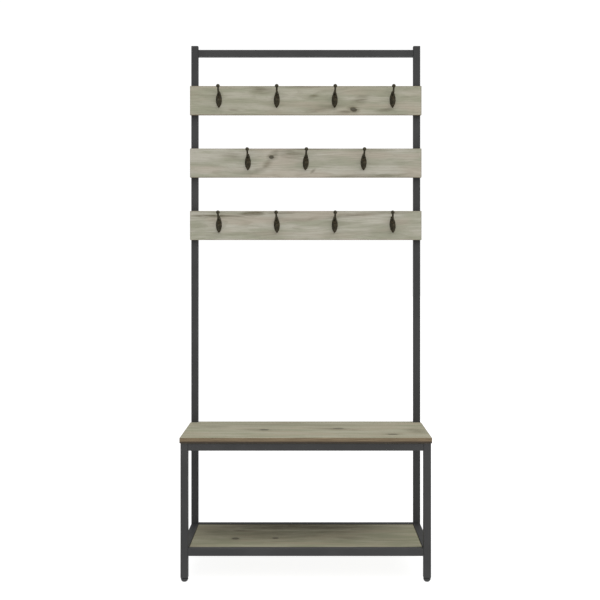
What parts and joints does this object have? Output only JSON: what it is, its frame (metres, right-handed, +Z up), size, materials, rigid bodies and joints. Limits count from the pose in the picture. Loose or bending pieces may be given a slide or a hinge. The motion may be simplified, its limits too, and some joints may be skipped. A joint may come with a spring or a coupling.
{
  "type": "hall tree",
  "caption": "Tall free-standing hall tree: square-tube metal frame, wooden seat over a lower shelf, and wooden boards of double coat hooks between two back posts.",
  "frame": {"origin": "on the floor, under the centre of the bounding box", "axes": "+X to the object's left as it faces out, which is the right of someone facing it; +Y from front to back; +Z up"},
  "size_m": [0.83, 0.406, 1.829],
  "materials": {
    "frame_steel": "satin charcoal powder coat",
    "washed_wood": "grey-washed, matt",
    "hook_bronze": "dark bronze, satin",
    "hook_screw_finish": "dark bronze plated",
    "dark_plastic": "moulded, matt",
    "inner_plastic": "moulded, matt",
    "stem_steel": "black oxide",
    "black_bolts": "black oxide, satin",
    "zinc_steel": "zinc plated"
  },
  "bodies": {
    "frame": {"board_bolts": "black_bolts", "board_inserts": "zinc_steel", "bolt_access_caps": "dark_plastic", "frame_bolts": "black_bolts", "front_left_foot_insert": "dark_plastic", "front_right_foot_insert": "dark_plastic", "front_seat_rail": "frame_steel", "front_shelf_rail": "frame_steel", "hook_lower_1": "hook_bronze", "hook_lower_2": "hook_bronze", "hook_lower_3": "hook_bronze", "hook_lower_4": "hook_bronze", "hook_middle_1": "hook_bronze", "hook_middle_2": "hook_bronze", "hook_middle_3": "hook_bronze", "hook_screws": "hook_screw_finish", "hook_top_1": "hook_bronze", "hook_top_2": "hook_bronze", "hook_top_3": "hook_bronze", "hook_top_4": "hook_bronze", "joiner_bolts": "black_bolts", "left_back_post": "frame_steel", "left_front_leg": "frame_steel", "left_post_cap": "dark_plastic", "left_post_joiner": "frame_steel", "left_rear_leg": "frame_steel", "left_seat_side_rail": "frame_steel", "left_shelf_side_rail": "frame_steel", "lower_hook_board": "washed_wood", "middle_hook_board": "washed_wood", "rail_end_plugs": "inner_plastic", "rear_left_foot_insert": "dark_plastic", "rear_right_foot_insert": "dark_plastic", "rear_seat_rail": "frame_steel", "rear_shelf_rail": "frame_steel", "right_back_post": "frame_steel", "right_front_leg": "frame_steel", "right_post_cap": "dark_plastic", "right_post_joiner": "frame_steel", "right_rear_leg": "frame_steel", "right_seat_side_rail": "frame_steel", "right_shelf_side_rail": "frame_steel", "seat_board": "washed_wood", "seat_screws": "zinc_steel", "shelf_board": "washed_wood", "shelf_screws": "zinc_steel", "shelf_tabs": "frame_steel", "top_crossbar": "frame_steel", "top_hook_board": "washed_wood"},
    "front_left_pad": {"front_left_foot_pad": "dark_plastic"},
    "front_left_stem": {"front_left_foot_stem": "stem_steel"},
    "front_right_pad": {"front_right_foot_pad": "dark_plastic"},
    "front_right_stem": {"front_right_foot_stem": "stem_steel"},
    "rear_left_pad": {"rear_left_foot_pad": "dark_plastic"},
    "rear_left_stem": {"rear_left_foot_stem": "stem_steel"},
    "rear_right_pad": {"rear_right_foot_pad": "dark_plastic"},
    "rear_right_stem": {"rear_right_foot_stem": "stem_steel"}
  },
  "joints": [
    {"name": "front_left_foot_lift", "type": "slide", "parent": "frame", "child": "front_left_pad", "axis": [0, 0, -1], "range_m": [0, 0.01]},
    {"name": "front_left_stem_turn", "type": "hinge", "parent": "front_left_pad", "child": "front_left_stem", "pos_m": [-0.3995, -0.1875, 0.0128], "axis": [0, 0, -1], "range_deg": [0, 2880]},
    {"name": "front_right_foot_lift", "type": "slide", "parent": "frame", "child": "front_right_pad", "axis": [0, 0, -1], "range_m": [0, 0.01]},
    {"name": "front_right_stem_turn", "type": "hinge", "parent": "front_right_pad", "child": "front_right_stem", "pos_m": [0.3995, -0.1875, 0.0128], "axis": [0, 0, -1], "range_deg": [0, 2880]},
    {"name": "rear_left_foot_lift", "type": "slide", "parent": "frame", "child": "rear_left_pad", "axis": [0, 0, -1], "range_m": [0, 0.01]},
    {"name": "rear_left_stem_turn", "type": "hinge", "parent": "rear_left_pad", "child": "rear_left_stem", "pos_m": [-0.3995, 0.1875, 0.0128], "axis": [0, 0, -1], "range_deg": [0, 2880]},
    {"name": "rear_right_foot_lift", "type": "slide", "parent": "frame", "child": "rear_right_pad", "axis": [0, 0, -1], "range_m": [0, 0.01]},
    {"name": "rear_right_stem_turn", "type": "hinge", "parent": "rear_right_pad", "child": "rear_right_stem", "pos_m": [0.3995, 0.1875, 0.0128], "axis": [0, 0, -1], "range_deg": [0, 2880]}
  ],
  "couplings": [
    {"joint": "front_left_stem_turn", "follows": "front_left_foot_lift", "rad_per_m": 5026.5},
    {"joint": "front_right_stem_turn", "follows": "front_right_foot_lift", "rad_per_m": 5026.5},
    {"joint": "rear_left_stem_turn", "follows": "rear_left_foot_lift", "rad_per_m": 5026.5},
    {"joint": "rear_right_stem_turn", "follows": "rear_right_foot_lift", "rad_per_m": 5026.5}
  ]
}
